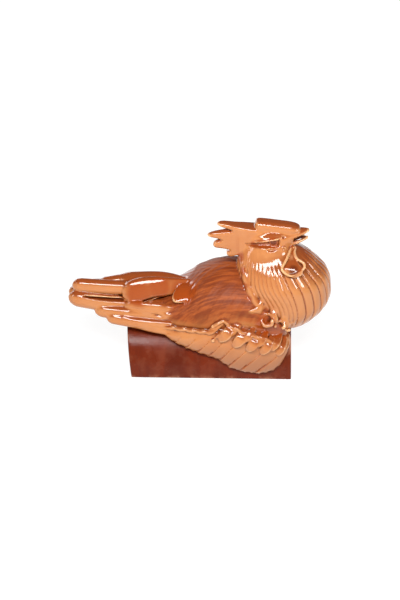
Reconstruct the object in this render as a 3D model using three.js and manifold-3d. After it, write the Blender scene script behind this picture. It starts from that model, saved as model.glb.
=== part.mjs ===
// Glazed ceramic roof finial: a plump rooster sitting astride a half-round ridge tile.
// Millimetres. +X is the way the rooster faces, +Y its left side, +Z up. The origin lies on the
// roof, under the middle of the finial's box.

import * as THREE from "three";
import { LoftGeometry } from "three/addons/geometries/LoftGeometry.js";
import { mergeVertices } from "three/addons/utils/BufferGeometryUtils.js";
import Module from "manifold-3d";

const wasm = await Module();
wasm.setup();

// Ridge tile: a half-round shell, a little wider under the breast than under the tail.
const TILE_LENGTH = 300;
const TILE_MIDDLE_X = 16.5;
const TILE_RADIUS_TAIL = 91.5;
const TILE_RADIUS_BREAST = 98.5;
const TILE_WALL = 14;
const TILE_EDGE = 3;
const TILE_ARC_STEPS = 16;
const LUTING_GAP = 0.3;

// Torso stations: x, half width, height of the widest line, crown height, keel height.
const TORSO = [
  [-150, 13, 112, 121, 102],
  [-112, 32, 107, 123, 86],
  [-72, 54, 102, 130, 62],
  [-31, 71, 100, 149, 40],
  [5, 81, 99, 176, 36],
  [48, 88, 100, 189, 36],
  [90, 91, 96, 184, 36],
  [125, 88, 92, 168, 36],
  [155, 72, 88, 146, 40],
  [166, 46, 90, 122, 56],
];
const TORSO_SECTIONS = 11;
const TORSO_POINTS = 20;

// Wing: the ridge line it turns over at, as share from front to rear, x, half width, height,
// and the outline of its lower edge on the tile, as x, height.
const WING_RIDGE = [
  [0, 158, 80, 74],
  [0.14, 138, 96, 83],
  [0.32, 103, 102, 94],
  [0.52, 60, 98, 101],
  [0.72, 14, 91, 96],
  [0.88, -28, 80, 94],
  [1, -64, 68, 92],
];
const WING_FOOT = [
  [-80, 88],
  [-60, 69],
  [-34, 57],
  [2, 45],
  [31, 35],
  [54, 21],
  [80, 13],
  [103, 10],
  [125, 13],
  [142, 22],
  [156, 40],
  [166, 64],
];
const WING_FOOT_X = [
  [0, 163],
  [0.14, 130],
  [0.32, 72],
  [0.52, 14],
  [0.72, -32],
  [0.88, -61],
  [1, -78],
];
const QUILLS = 8;
const QUILL_STEP = 4;
const WING_PROUD = 4;
const WING_BULGE = 6;
const WING_DEPTH = 30;
const WING_SIDE_STEPS = 4;
const WING_TOP_RISE = 12;
const WING_LIP_RISE = 7;
const WING_LIP_WIDTH = 8;
const WING_FOOT_LIFT = 4;
const WING_END_TUCK = -8;
const QUILL_PARTS = [0.06, 0.94];

// Covert scales on the shoulder, in rows above the wing's ridge.
const COVERT_ROWS = [
  { count: 5, from: 0.1, to: 0.62, lift: 6, length: 40, width: 24 },
  { count: 3, from: 0.18, to: 0.46, lift: 24, length: 36, width: 22 },
];
const COVERT_THICKNESS = 11;
const COVERT_SINK = 4;
const COVERT_LIFT = 2;
const COVERT_FALL = 9;

// Neck and breast stations: height, middle x, half length, half width.
const NECK = [
  [256, 126, 26, 23],
  [241, 126, 39, 35],
  [221, 131, 58, 52],
  [199, 140, 72, 66],
  [173, 150, 84, 78],
  [146, 158, 82, 80],
  [122, 162, 75, 79],
  [99, 161, 60, 69],
  [82, 157, 41, 53],
  [73, 153, 18, 26],
];
const HACKLES = 24;
const HACKLE_DEPTH = 4;
const NECK_SECTIONS = 8;
const HACKLE_PARTS = [0, 0.35, 0.75];

// Hackle tips that curl off the cape onto the shoulder: angle from the breast in degrees, height
// of the root and of the tip.
const HACKLE_TIPS = [
  [-82, 142, 102],
  [-103, 150, 113],
  [-124, 164, 132],
];
const HACKLE_TIP_WIDTH = 18;
const HACKLE_TIP_THICKNESS = 11;
const HACKLE_TIP_CURL = 7;

// Head stations: x, middle height, half height, half width.
const HEAD = [
  [86, 246, 8, 8],
  [96, 247, 18, 18],
  [112, 249, 25, 25],
  [132, 250, 27, 27],
  [150, 250, 24, 24],
  [164, 250, 18, 19],
  [172, 250, 10, 11],
];
const HEAD_POINTS = 12;
const EYE = { x: 136, y: 24, z: 253, radius: 6.5 };
const EYE_SLIT = { x: 122, y: 29, z: 253, length: 52, height: 12, depth: 14 };
const EARLOBE = { x: 150, y: 25, z: 240, radius: 5.5 };

// Beak, open: root, tip, half width and half height at the root.
const UPPER_BEAK = { root: [152, 0, 253], tip: [197, 0, 259], width: 17, height: 11 };
const LOWER_BEAK = { root: [152, 0, 242], tip: [195, 0, 247], width: 14, height: 6 };
const BEAK_SECTIONS = 5;
const BEAK_POINTS = 8;
const BEAK_TAPER = 0.97;

// Comb: a thick front lobe, and four lobes that fan out behind it from a common blade.
const COMB_THICKNESS = 20;
const FRONT_LOBE_THICKNESS = 26;
const COMB_EDGE = 4;
const BLADE_POINTS = 16;
const FRONT_LOBE_POINTS = 20;
const FRONT_LOBE = [
  [101, 264],
  [104, 286],
  [142, 283],
  [178, 273],
  [184, 264],
  [164, 250],
  [120, 248],
];
const COMB_BLADE = { x: 84, z: 250, length: 42, height: 29 };
const COMB_LOBES = [
  { root: [112, 262], tip: [31, 276], width: 36 },
  { root: [108, 248], tip: [14, 254], width: 28 },
  { root: [108, 248], tip: [26, 231], width: 28 },
  { root: [108, 248], tip: [49, 212], width: 26 },
];

// Wattles: path from the beak down the cheek, on the near side of the head.
const WATTLE_PATH = [
  [164, 18, 243],
  [167, 44, 224],
  [168, 60, 198],
];
const WATTLE_WIDTH = 40;
const WATTLE_THICKNESS = 18;
const WATTLE_FACE = [0, 0.72, 0.7];
const WATTLE_DISH_DEPTH = 6;
const WATTLE_DISH_SHARE = 0.72;

// Tail feathers on the right side: root, middle and tip, width and thickness of the blade.
const TAIL_FEATHERS = [
  { path: [[-14, 8, 138], [-72, 8, 147], [-187, 6, 137]], width: 32, thickness: 36 },
  { path: [[-20, -8, 148], [-80, -18, 153], [-140, -27, 137]], width: 44, thickness: 40 },
  { path: [[-60, -10, 144], [-150, -14, 148], [-233, -8, 149]], width: 30, thickness: 26 },
  { path: [[-70, -28, 118], [-150, -26, 118], [-240, -17, 130]], width: 34, thickness: 30 },
  { path: [[-40, -34, 128], [-84, -42, 128], [-132, -40, 118]], width: 28, thickness: 20 },
  { path: [[-50, -48, 110], [-110, -46, 109], [-192, -33, 110]], width: 27, thickness: 22 },
  { path: [[-52, -58, 98], [-110, -56, 98], [-170, -43, 101]], width: 24, thickness: 20 },
  { path: [[-48, -66, 80], [-100, -57, 89], [-146, -47, 102]], width: 22, thickness: 18 },
];
const TAIL_FACE = [0.1, -1, 0.2];
const FAR_TAIL_DROP = 14;
const FAR_TAIL_FROM = 2;
const PLUME_SECTIONS = 6;
const PLUME_POINTS = 8;
const SCALE_SECTIONS = 4;
const SCALE_POINTS = 6;

const GLAZE_TILE = new THREE.Color(0x78301a);
const GLAZE_ROOSTER = new THREE.Color(0xc87a44);

const vec = (x, y, z) => new THREE.Vector3(x, y, z);
const steps = (count) => Array.from({ length: count + 1 }, (_, i) => i / count);
const lerp = THREE.MathUtils.lerp;

// Smooth curve through rows of [position, value, ...]; it holds the end rows beyond them.
function through(rows) {
  const slope = (i, k) => {
    const before = rows[Math.max(i - 1, 0)];
    const after = rows[Math.min(i + 1, rows.length - 1)];
    return (after[k] - before[k]) / (after[0] - before[0]);
  };
  return (at) => {
    const t = THREE.MathUtils.clamp(at, rows[0][0], rows.at(-1)[0]);
    const i = Math.max(0, Math.min(rows.findIndex((row) => row[0] >= t), rows.length - 1) - 1);
    const [a, b] = [rows[i], rows[i + 1]];
    const span = b[0] - a[0];
    const f = (t - a[0]) / span;
    const [f2, f3] = [f * f, f * f * f];
    return a.slice(1).map((start, n) => {
      const k = n + 1;
      const rise = (f3 - 2 * f2 + f) * slope(i, k) + (f3 - f2) * slope(i + 1, k);
      return (2 * f3 - 3 * f2 + 1) * start + (3 * f2 - 2 * f3) * b[k] + span * rise;
    });
  };
}

// A closed geometry as a manifold solid, its faces turned outwards.
function solidOf(geometry) {
  const bare = new THREE.BufferGeometry();
  bare.setAttribute("position", geometry.getAttribute("position"));
  if (geometry.index) bare.setIndex(geometry.index);
  const merged = mergeVertices(bare, 1e-4);
  const triangles = [];
  for (let i = 0; i < merged.index.count; i += 3) {
    const [a, b, c] = [0, 1, 2].map((k) => merged.index.getX(i + k));
    if (a !== b && b !== c && c !== a) triangles.push([a, b, c]);
  }
  const make = (list) =>
    new wasm.Manifold(
      new wasm.Mesh({
        numProp: 3,
        vertProperties: new Float32Array(merged.getAttribute("position").array),
        triVerts: new Uint32Array(list.flat()),
      }),
    );
  const solid = make(triangles);
  return solid.volume() > 0 ? solid : make(triangles.map(([a, b, c]) => [a, c, b]));
}

function geometryOf(solid) {
  const mesh = solid.getMesh();
  const geometry = new THREE.BufferGeometry();
  geometry.setAttribute("position", new THREE.BufferAttribute(mesh.vertProperties, 3));
  geometry.setIndex(new THREE.BufferAttribute(mesh.triVerts, 1));
  geometry.computeVertexNormals();
  return geometry;
}

// A skin over rings of points, each end drawn together at the middle of its ring.
function loft(sections) {
  const closing = (ring) => {
    const middle = ring.reduce((sum, point) => sum.add(point), vec(0, 0, 0));
    return ring.map(() => middle.clone().divideScalar(ring.length));
  };
  const rings = [closing(sections[0]), ...sections, closing(sections.at(-1))];
  return solidOf(new LoftGeometry(rings));
}

const union = (solids) => solids.reduce((whole, piece) => whole.add(piece));
const filled = (solid) => solid.decompose().reduce((a, b) => (a.volume() > b.volume() ? a : b));
const bothSides = (solid) => [solid, mirrored(solid)];

// The same shape on the other side of the plane of symmetry, set lower by a drop.
function mirrored(solid, drop = 0) {
  const geometry = geometryOf(solid);
  geometry.scale(1, -1, 1);
  geometry.translate(0, 0, -drop);
  return solidOf(geometry);
}

// Ring of points on an ellipse about a middle, in the plane of two half axes.
function ellipse(middle, axisA, axisB, count) {
  return Array.from({ length: count }, (_, i) => {
    const turn = (2 * Math.PI * i) / count;
    return middle
      .clone()
      .addScaledVector(axisA, Math.cos(turn))
      .addScaledVector(axisB, Math.sin(turn));
  });
}

function ellipsoid(x, y, z, length, depth, height) {
  const ball = new THREE.SphereGeometry(0.5, 10, 6);
  ball.scale(length, depth, height);
  ball.translate(x, y, z);
  return solidOf(ball);
}

// A feather: a flattened tongue along a path, swelling from its root and round at the tip.
// The face normal says which way its flat side looks.
function plume({ path, width, thickness, face, root = 0.6, rings, points }) {
  const curve = new THREE.CatmullRomCurve3(path.map((point) => vec(...point)));
  const normal = vec(...face);
  const tipFrom = 1 - (0.6 * width) / curve.getLength();
  const sections = steps(rings - 1).map((share) => {
    const s = 1 - (1 - share) ** 2;
    const along = curve.getTangent(s);
    const across = new THREE.Vector3().crossVectors(along, normal).normalize();
    const out = new THREE.Vector3().crossVectors(across, along);
    const swell = lerp(root, 1, Math.sin((Math.PI / 2) * Math.min(1, s / 0.6)));
    const round = Math.max(0, (s - tipFrom) / (1 - tipFrom));
    const size = Math.max(swell * Math.sqrt(1 - round ** 2), 0.15) / 2;
    across.multiplyScalar(width * size);
    out.multiplyScalar(thickness * size);
    return ellipse(curve.getPoint(s), across, out, points);
  });
  return loft(sections);
}

const longPlume = (feather) => plume({ rings: PLUME_SECTIONS, points: PLUME_POINTS, ...feather });
const scale = (feather) => plume({ rings: SCALE_SECTIONS, points: SCALE_POINTS, ...feather });

// A slab cut to an outline in the plane of symmetry, with rounded edges.
function slab(shape, thickness) {
  const geometry = new THREE.ExtrudeGeometry(shape, {
    depth: thickness - 2 * COMB_EDGE,
    bevelThickness: COMB_EDGE,
    bevelSize: COMB_EDGE,
    bevelOffset: -COMB_EDGE,
    bevelSegments: 1,
    curveSegments: 4,
  });
  geometry.translate(0, 0, COMB_EDGE - thickness / 2);
  geometry.rotateX(Math.PI / 2);
  return solidOf(geometry);
}

const tileRadiusAt = (x) => {
  const share = (x - TILE_MIDDLE_X) / TILE_LENGTH + 0.5;
  return lerp(TILE_RADIUS_TAIL, TILE_RADIUS_BREAST, share);
};

// A half-round length of the tile's taper, from one radius offset to another; the inner offset
// of null leaves it solid.
function halfRound(outerOffset, innerOffset, lengthened, bevel) {
  const reference = TILE_RADIUS_BREAST;
  const shape = new THREE.Shape();
  shape.absarc(0, 0, reference + outerOffset, 0, Math.PI);
  if (innerOffset !== null) {
    shape.absarc(0, 0, reference + innerOffset, Math.PI, 0, true);
  }
  const length = TILE_LENGTH + 2 * lengthened;
  const geometry = new THREE.ExtrudeGeometry(shape, {
    depth: length - 2 * bevel,
    bevelEnabled: bevel > 0,
    bevelThickness: bevel,
    bevelSize: bevel,
    bevelOffset: -bevel,
    bevelSegments: 1,
    curveSegments: TILE_ARC_STEPS,
  });
  geometry.translate(0, 0, bevel - length / 2);
  geometry.rotateZ(Math.PI / 2);
  geometry.rotateY(Math.PI / 2);
  geometry.translate(TILE_MIDDLE_X, 0, 0);
  const place = geometry.getAttribute("position");
  for (let i = 0; i < place.count; i++) {
    const taper = (tileRadiusAt(place.getX(i)) - reference) / reference + 1;
    place.setXYZ(i, place.getX(i), place.getY(i) * taper, place.getZ(i) * taper);
  }
  return solidOf(geometry);
}

const torsoAt = through(TORSO);

function torsoPoint(x, turn) {
  const [halfWidth, wide, crown, keel] = torsoAt(x);
  const rise = Math.sin(turn) > 0 ? crown - wide : wide - keel;
  return vec(x, -halfWidth * Math.cos(turn), wide + rise * Math.sin(turn));
}

function torso() {
  const [first, last] = [TORSO[0][0], TORSO.at(-1)[0]];
  const sections = steps(TORSO_SECTIONS).map((share) => {
    const x = lerp(first, last, share ** 0.8);
    return Array.from({ length: TORSO_POINTS }, (_, i) =>
      torsoPoint(x, (2 * Math.PI * i) / TORSO_POINTS),
    );
  });
  return loft(sections);
}

const wingRidgeAt = through(WING_RIDGE);
const wingFootXAt = through(WING_FOOT_X);
const wingFootAt = through(WING_FOOT);

// One section of the right wing: over the ridge, down the side to the tile and back inside.
function wingSection(share, step) {
  const [ridgeX, halfWidth, ridgeZ] = wingRidgeAt(share);
  const [footX] = wingFootXAt(share);
  const [footZ] = wingFootAt(footX);
  const footY = Math.sqrt(tileRadiusAt(footX) ** 2 - footZ ** 2) + WING_PROUD;
  const bulge = Math.max(halfWidth, footY) + WING_BULGE;
  const side = new THREE.QuadraticBezierCurve3(
    vec(ridgeX, -halfWidth, ridgeZ),
    vec((ridgeX + footX) / 2, -bulge, (ridgeZ + footZ) / 2),
    vec(footX, -footY, footZ),
  );
  const outer = steps(WING_SIDE_STEPS).map((t) => {
    const point = side.getPoint(t);
    point.y -= step * Math.sin(Math.PI * Math.min(0.2 + t, 0.9));
    return point;
  });
  return [
    vec(ridgeX, WING_DEPTH - halfWidth, ridgeZ + WING_TOP_RISE),
    vec(ridgeX, WING_LIP_WIDTH - halfWidth, ridgeZ + WING_LIP_RISE),
    ...outer,
    vec(footX, WING_DEPTH - footY, footZ + WING_FOOT_LIFT),
  ];
}

// The folded wing's flight feathers lie like shingles, each stepping down to the one behind it.
function wing() {
  const sections = [wingSection(0, WING_END_TUCK)];
  for (let quill = 0; quill < QUILLS; quill++) {
    for (const part of QUILL_PARTS) {
      sections.push(wingSection((quill + part) / QUILLS, QUILL_STEP * part));
    }
  }
  sections.push(wingSection(1, WING_END_TUCK));
  return loft(sections);
}

function coverts() {
  return COVERT_ROWS.flatMap(({ count, from, to, lift, length, width }) =>
    steps(count - 1).map((share) => {
      const [x, halfWidth, z] = wingRidgeAt(lerp(from, to, share));
      const y = lift / 2 - halfWidth;
      return scale({
        path: [
          [x + length / 2, y + COVERT_SINK, z + lift + COVERT_LIFT],
          [x, y - COVERT_LIFT, z + lift],
          [x - length / 2, y - COVERT_LIFT, z + lift - COVERT_FALL],
        ],
        width,
        thickness: COVERT_THICKNESS,
        face: [0, -1, 0.5],
      });
    }),
  );
}

const neckAt = through(NECK.map((row) => [-row[0], ...row.slice(1)]));

// A point of the neck and breast at a height and a turn from the breast; hackle is 1 on a
// feather and 0 in the groove between two.
function neckPoint(z, turn, hackle) {
  const [middle, halfLength, halfWidth] = neckAt(-z);
  const depth = HACKLE_DEPTH * (1 - hackle);
  return vec(
    middle + (halfLength - depth) * Math.cos(turn),
    (halfWidth - depth) * Math.sin(turn),
    z,
  );
}

function neck() {
  const [top, bottom] = [NECK[0][0], NECK.at(-1)[0]];
  const sections = steps(NECK_SECTIONS).map((share) => {
    const z = lerp(top, bottom, share);
    const ring = [];
    for (let i = 0; i < HACKLES; i++) {
      for (const part of HACKLE_PARTS) {
        ring.push(neckPoint(z, (2 * Math.PI * (i + part)) / HACKLES, part > 0 ? 1 : 0));
      }
    }
    return ring;
  });
  return loft(sections);
}

function hackleTips() {
  return HACKLE_TIPS.map(([degrees, rootZ, tipZ]) => {
    const turn = THREE.MathUtils.degToRad(degrees);
    const out = vec(Math.cos(turn), Math.sin(turn), 0);
    const root = neckPoint(rootZ, turn, 1).addScaledVector(out, -HACKLE_TIP_CURL);
    const tip = neckPoint(tipZ, turn, 1).addScaledVector(out, HACKLE_TIP_CURL);
    const middle = neckPoint((rootZ + tipZ) / 2, turn, 1);
    return scale({
      path: [root, middle, tip].map((point) => point.toArray()),
      width: HACKLE_TIP_WIDTH,
      thickness: HACKLE_TIP_THICKNESS,
      face: out.toArray(),
    });
  });
}

function head() {
  const sections = HEAD.map(([x, z, halfHeight, halfWidth]) =>
    ellipse(vec(x, 0, z), vec(0, halfWidth, 0), vec(0, 0, halfHeight), HEAD_POINTS),
  );
  return loft(sections);
}

function beakHalf({ root, tip, width, height }) {
  const [from, to] = [vec(...root), vec(...tip)];
  const sections = steps(BEAK_SECTIONS).map((share) => {
    const size = Math.sqrt(1 - BEAK_TAPER * share ** 3);
    return ellipse(
      from.clone().lerp(to, share),
      vec(0, width * size, 0),
      vec(0, 0, height * size),
      BEAK_POINTS,
    );
  });
  return loft(sections);
}

function combLobe({ root: [rootX, rootZ], tip, width }) {
  const root = new THREE.Vector2(rootX, rootZ);
  const end = new THREE.Vector2(...tip);
  const along = end.clone().sub(root).normalize();
  const aside = new THREE.Vector2(-along.y, along.x).multiplyScalar(width / 2);
  const [left, right] = [root.clone().add(aside), root.clone().sub(aside)];
  const reach = end.clone().addScaledVector(along, -width * 0.2);
  const shape = new THREE.Shape();
  shape.moveTo(left.x, left.y);
  shape.bezierCurveTo(
    ...reach.clone().addScaledVector(aside, 1.1).toArray(),
    ...end.clone().addScaledVector(aside, 0.5).toArray(),
    ...end.toArray(),
  );
  shape.bezierCurveTo(
    ...end.clone().addScaledVector(aside, -0.5).toArray(),
    ...reach.clone().addScaledVector(aside, -1.1).toArray(),
    ...right.toArray(),
  );
  return slab(shape, COMB_THICKNESS);
}

function comb() {
  const { x, z, length, height } = COMB_BLADE;
  const rim = ellipse(vec(x, z, 0), vec(length, 0, 0), vec(0, height, 0), BLADE_POINTS);
  const front = new THREE.CatmullRomCurve3(FRONT_LOBE.map((point) => vec(...point, 0)), true);
  return [
    slab(new THREE.Shape(front.getPoints(FRONT_LOBE_POINTS).slice(1)), FRONT_LOBE_THICKNESS),
    slab(new THREE.Shape(rim), COMB_THICKNESS),
    ...COMB_LOBES.map(combLobe),
  ];
}

// A hanging drop with a dished face.
function wattle() {
  const drop = (path, share) =>
    longPlume({
      path,
      width: WATTLE_WIDTH * share,
      thickness: WATTLE_THICKNESS * share,
      face: WATTLE_FACE,
      root: 0.35,
    });
  const dishPath = WATTLE_PATH.map((point, i) => {
    const drawnUp = i === 2 ? vec(...point).lerp(vec(...WATTLE_PATH[1]), 0.22) : vec(...point);
    const reach = ((1 + WATTLE_DISH_SHARE) * WATTLE_THICKNESS) / 2 - WATTLE_DISH_DEPTH;
    return drawnUp.add(vec(...WATTLE_FACE).setLength(reach)).toArray();
  });
  return drop(WATTLE_PATH, 1).subtract(drop(dishPath, WATTLE_DISH_SHARE));
}

// The feathers of the far side repeat the near ones, the upper ones set lower.
function tail() {
  const near = TAIL_FEATHERS.map((feather) => longPlume({ face: TAIL_FACE, ...feather }));
  const far = near.slice(FAR_TAIL_FROM).map((solid, i, list) => {
    const drop = FAR_TAIL_DROP * (1 - i / (list.length - 1));
    return mirrored(solid, drop);
  });
  return [...near, ...far];
}

function rooster() {
  const slit = ellipsoid(
    EYE_SLIT.x,
    EYE_SLIT.y,
    EYE_SLIT.z,
    EYE_SLIT.length,
    EYE_SLIT.depth,
    EYE_SLIT.height,
  );
  const skull = union([head(), neck(), ...comb()]);
  const face = bothSides(slit).reduce((whole, cut) => whole.subtract(cut), skull);
  const eyeSize = 2 * EYE.radius;
  const lobeSize = 2 * EARLOBE.radius;
  const features = [
    ellipsoid(EYE.x, EYE.y, EYE.z, eyeSize, eyeSize, eyeSize),
    ellipsoid(EARLOBE.x, EARLOBE.y, EARLOBE.z, lobeSize, lobeSize, lobeSize),
    wattle(),
  ];
  const sided = [wing(), ...coverts(), ...hackleTips()];
  const whole = union([
    torso(),
    face,
    beakHalf(UPPER_BEAK),
    beakHalf(LOWER_BEAK),
    ...features.flatMap(bothSides),
    ...sided.flatMap(bothSides),
    ...tail(),
  ]);
  return filled(whole.subtract(halfRound(LUTING_GAP, null, LUTING_GAP, 0)));
}

const ridgeTile = () => halfRound(0, -TILE_WALL, 0, TILE_EDGE);

function glazed(name, solid, color, roughness) {
  const material = new THREE.MeshStandardMaterial({ color, roughness, metalness: 0 });
  const mesh = new THREE.Mesh(geometryOf(solid), material);
  mesh.name = name;
  return mesh;
}

const finial = new THREE.Group();
finial.add(glazed("ridge_tile", ridgeTile(), GLAZE_TILE, 0.18));
finial.add(glazed("rooster", rooster(), GLAZE_ROOSTER, 0.12));

export default finial;
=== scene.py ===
import math

import bpy
import numpy as np
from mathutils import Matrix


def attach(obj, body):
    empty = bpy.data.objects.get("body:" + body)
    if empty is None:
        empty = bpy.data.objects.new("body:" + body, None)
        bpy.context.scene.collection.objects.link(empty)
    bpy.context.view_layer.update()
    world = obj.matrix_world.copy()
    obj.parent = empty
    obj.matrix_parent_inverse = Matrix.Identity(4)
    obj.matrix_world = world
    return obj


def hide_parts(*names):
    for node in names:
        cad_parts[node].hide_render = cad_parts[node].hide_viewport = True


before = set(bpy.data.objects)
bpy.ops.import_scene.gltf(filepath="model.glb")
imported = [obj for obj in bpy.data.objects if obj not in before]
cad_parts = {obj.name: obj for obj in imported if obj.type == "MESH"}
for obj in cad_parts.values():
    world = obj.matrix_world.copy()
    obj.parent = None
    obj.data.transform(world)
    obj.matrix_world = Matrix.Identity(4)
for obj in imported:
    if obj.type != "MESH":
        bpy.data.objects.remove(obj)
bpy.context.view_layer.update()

import openvdb

# The finial is shaped in millimetres, in the frame's own axes, and scaled to metres at the end.
MM = 0.001

# The clay block: grid spacing, and the room kept round the shape.
GRID = 1.5
FAR = 12.0
JOINT_SLACK = 1.0
CLAY_LOW = (-246, -114, 3)
CLAY_HIGH = (246, 114, 294)
MOST_TRIANGLES = 190000
HOLLOW_REACH = 4
HOLLOW_WIDE_REACH = 10

# Ridge tile.
TILE_LENGTH = 300
TILE_MIDDLE = 16.5
TILE_RADIUS_TAIL = 91.5
TILE_RADIUS_BREAST = 98.5
TILE_WALL = 14
TILE_EDGE = 2.5
TILE_SLANT = 8
TILE_SLANT_REACH = 40
TILE_TURNS = 97
TILE_RINGS = 40
TILE_END = 8

# Torso stations: x, half width, height of the widest line, crown height, keel height.
TORSO = [
    (-150, 13, 112, 121, 102),
    (-112, 32, 107, 123, 86),
    (-72, 54, 102, 130, 62),
    (-31, 71, 100, 149, 40),
    (5, 81, 99, 176, 36),
    (48, 88, 100, 189, 36),
    (90, 91, 96, 184, 36),
    (125, 88, 92, 168, 36),
    (155, 72, 88, 146, 40),
    (166, 46, 90, 122, 56),
]

BARB_DEPTH = 0.35

# Wing: its ridge line as x, half width, height, and its lower edge on the tile as x, height.
WING_RIDGE = [
    (-76, 60, 93),
    (-64, 68, 92),
    (-28, 80, 94),
    (14, 91, 96),
    (60, 98, 101),
    (103, 102, 94),
    (138, 96, 83),
    (158, 82, 74),
    (168, 72, 72),
]
WING_FOOT = [
    (-82, 90),
    (-60, 69),
    (-34, 57),
    (2, 45),
    (31, 36),
    (54, 21),
    (80, 13),
    (103, 10),
    (125, 13),
    (142, 22),
    (156, 40),
    (167, 68),
]
WING_REAR = -80
WING_FRONT = 165
WING_PROUD = 4
WING_BULGE = 5
WING_EDGE = 11
QUILL_PITCH = 27
QUILL_LEAN = 0.8
QUILL_DEPTH = 2.6
QUILL_CUT = 2.2
QUILL_GROOVE = 1.3
RIDGE_SCALLOP = 21
RIDGE_SCALLOP_DEPTH = 1.8
FOOT_SCALLOP = 3.5

# Neck and breast stations: height, middle x, half length, half width.
NECK = [
    (256, 126, 26, 22),
    (241, 126, 39, 31),
    (228, 128, 51, 38),
    (218, 132, 60, 46),
    (207, 137, 68, 58),
    (197, 141, 73, 66),
    (173, 150, 84, 78),
    (146, 158, 82, 80),
    (122, 162, 75, 79),
    (99, 161, 60, 69),
    (82, 157, 41, 53),
    (72, 153, 14, 20),
]
HACKLE_WIDE = math.radians(13)
HACKLE_FINE_FROM = math.radians(78)
HACKLE_DEPTH = 2.6
HACKLE_GROOVE = 1.5
HACKLE_CROWN = 0.7
HACKLE_FINE_SHARE = 0.55
HACKLE_SWAY = 0.05
HACKLE_SWAY_LENGTH = 17

# Curled feather tips: how open the roll starts, how far it closes, and how far it rises.
CURL_OPEN = 1.15
CURL_CLOSE = 0.4
CURL_RISE = 2

# Head stations: x, half width, height of the widest line, top height, bottom height.
HEAD = [
    (84, 8, 244, 254, 234),
    (96, 18, 245, 262, 228),
    (112, 24, 247, 268, 224),
    (132, 27, 249, 271, 223),
    (150, 24, 249, 269, 226),
    (164, 18, 249, 264, 232),
    (174, 8, 250, 257, 242),
]

# Comb: outline of the blade with its four rear lobes, and of the thick front lobe, as x, height.
COMB_BLADE = [
    (124, 262),
    (106, 271),
    (88, 274),
    (66, 277),
    (46, 281),
    (36, 281),
    (31, 278),
    (38, 273),
    (48, 270),
    (58, 266),
    (48, 264),
    (36, 262),
    (24, 260),
    (15, 256),
    (14, 252),
    (21, 249),
    (31, 247),
    (39, 244),
    (29, 241),
    (25, 237),
    (24, 231),
    (29, 227),
    (40, 226),
    (54, 224),
    (49, 219),
    (49, 213),
    (55, 210),
    (66, 213),
    (80, 219),
    (102, 226),
    (128, 242),
]
FRONT_LOBE = [
    (101, 268),
    (101, 281),
    (108, 286),
    (141, 282),
    (170, 277),
    (182, 270),
    (178, 262),
    (158, 254),
    (115, 254),
]
COMB_EDGE = 5
COMB_THIN = 6
COMB_THICK = 15
COMB_THIN_AT = 15
COMB_THICK_AT = 105
FRONT_LOBE_HALF = 14
FRONT_LOBE_EDGE = 10

# Tail feathers of the right side: root, middle and tip, then width and thickness.
TAIL = [
    ([(-14, 8, 138), (-72, 10, 147), (-150, 10, 145)], 32, 36),
    ([(-50, 14, 146), (-120, 12, 148), (-184, 8, 140)], 24, 22),
    ([(-16, -8, 148), (-80, -20, 151), (-141, -28, 142)], 46, 28),
    ([(-60, -10, 144), (-150, -14, 147), (-233, -8, 149)], 27, 23),
    ([(-70, -28, 118), (-150, -26, 118), (-240, -17, 129)], 33, 29),
    ([(-30, -40, 112), (-82, -50, 123), (-138, -38, 121)], 27, 15),
    ([(-50, -54, 111), (-110, -47, 109), (-192, -33, 110)], 25, 20),
    ([(-52, -64, 98), (-110, -57, 98), (-170, -43, 101)], 22, 18),
    ([(-48, -70, 84), (-100, -59, 93), (-146, -47, 105)], 19, 16),
]
TAIL_LEAF = 2
TAIL_LEAF_SHAPE = [(0, 0.5), (0.35, 0.74), (0.7, 1), (0.88, 0.9), (0.96, 0.6), (1, 0.2)]
TAIL_LEAF_FACE = (0.1, -0.85, 0.5)
TAIL_FACE = (0.1, -1, 0.2)
FAR_TAIL_FROM = 3
FAR_TAIL_DROP = 14


def through(rows):
    """A smooth curve through rows of (position, value, ...), holding the end rows beyond them."""
    table = np.array(rows, np.float32)
    if table[0, 0] > table[-1, 0]:
        table = table[::-1]
    place, values = table[:, 0], table[:, 1:]
    before = np.maximum(np.arange(len(place)) - 1, 0)
    after = np.minimum(np.arange(len(place)) + 1, len(place) - 1)
    slope = (values[after] - values[before]) / (place[after] - place[before])[:, None]

    def at(where):
        where = np.clip(np.asarray(where, np.float32), place[0], place[-1])
        i = np.clip(np.searchsorted(place, where) - 1, 0, len(place) - 2)
        span = place[i + 1] - place[i]
        f = (where - place[i]) / span
        start, end = 2 * f**3 - 3 * f**2 + 1, 3 * f**2 - 2 * f**3
        leave, arrive = (f**3 - 2 * f**2 + f) * span, (f**3 - f**2) * span
        return [
            start * values[i, k] + end * values[i + 1, k] + leave * slope[i, k] + arrive * slope[i + 1, k]
            for k in range(values.shape[1])
        ]

    return at


def spline(points, shares, closed=False):
    """Points along a Catmull-Rom curve through a few given ones, at shares of its length."""
    knots = np.array(points, float)
    spans = len(knots) if closed else len(knots) - 1
    if closed:
        knots = np.concatenate([knots[-1:], knots, knots[:2]])
    else:
        knots = np.concatenate([2 * knots[:1] - knots[1:2], knots, 2 * knots[-1:] - knots[-2:-1]])
    t = np.asarray(shares) * spans
    i = np.minimum(t.astype(int), spans - 1)
    f = (t - i)[:, None]
    a, b, c, d = (knots[i + k] for k in range(4))
    return 0.5 * (2 * b + (c - a) * f + (2 * a - 5 * b + 4 * c - d) * f**2 + (3 * b - a - 3 * c + d) * f**3)


def smooth_min(a, b, blend):
    overlap = np.maximum(blend - np.abs(a - b), 0)
    return np.minimum(a, b) - overlap * overlap / (4 * blend)


def smooth_max(a, b, blend):
    return -smooth_min(-a, -b, blend)


def ease(value, low, high):
    f = np.clip((value - low) / (high - low), 0, 1)
    return f * f * (3 - 2 * f)


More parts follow.
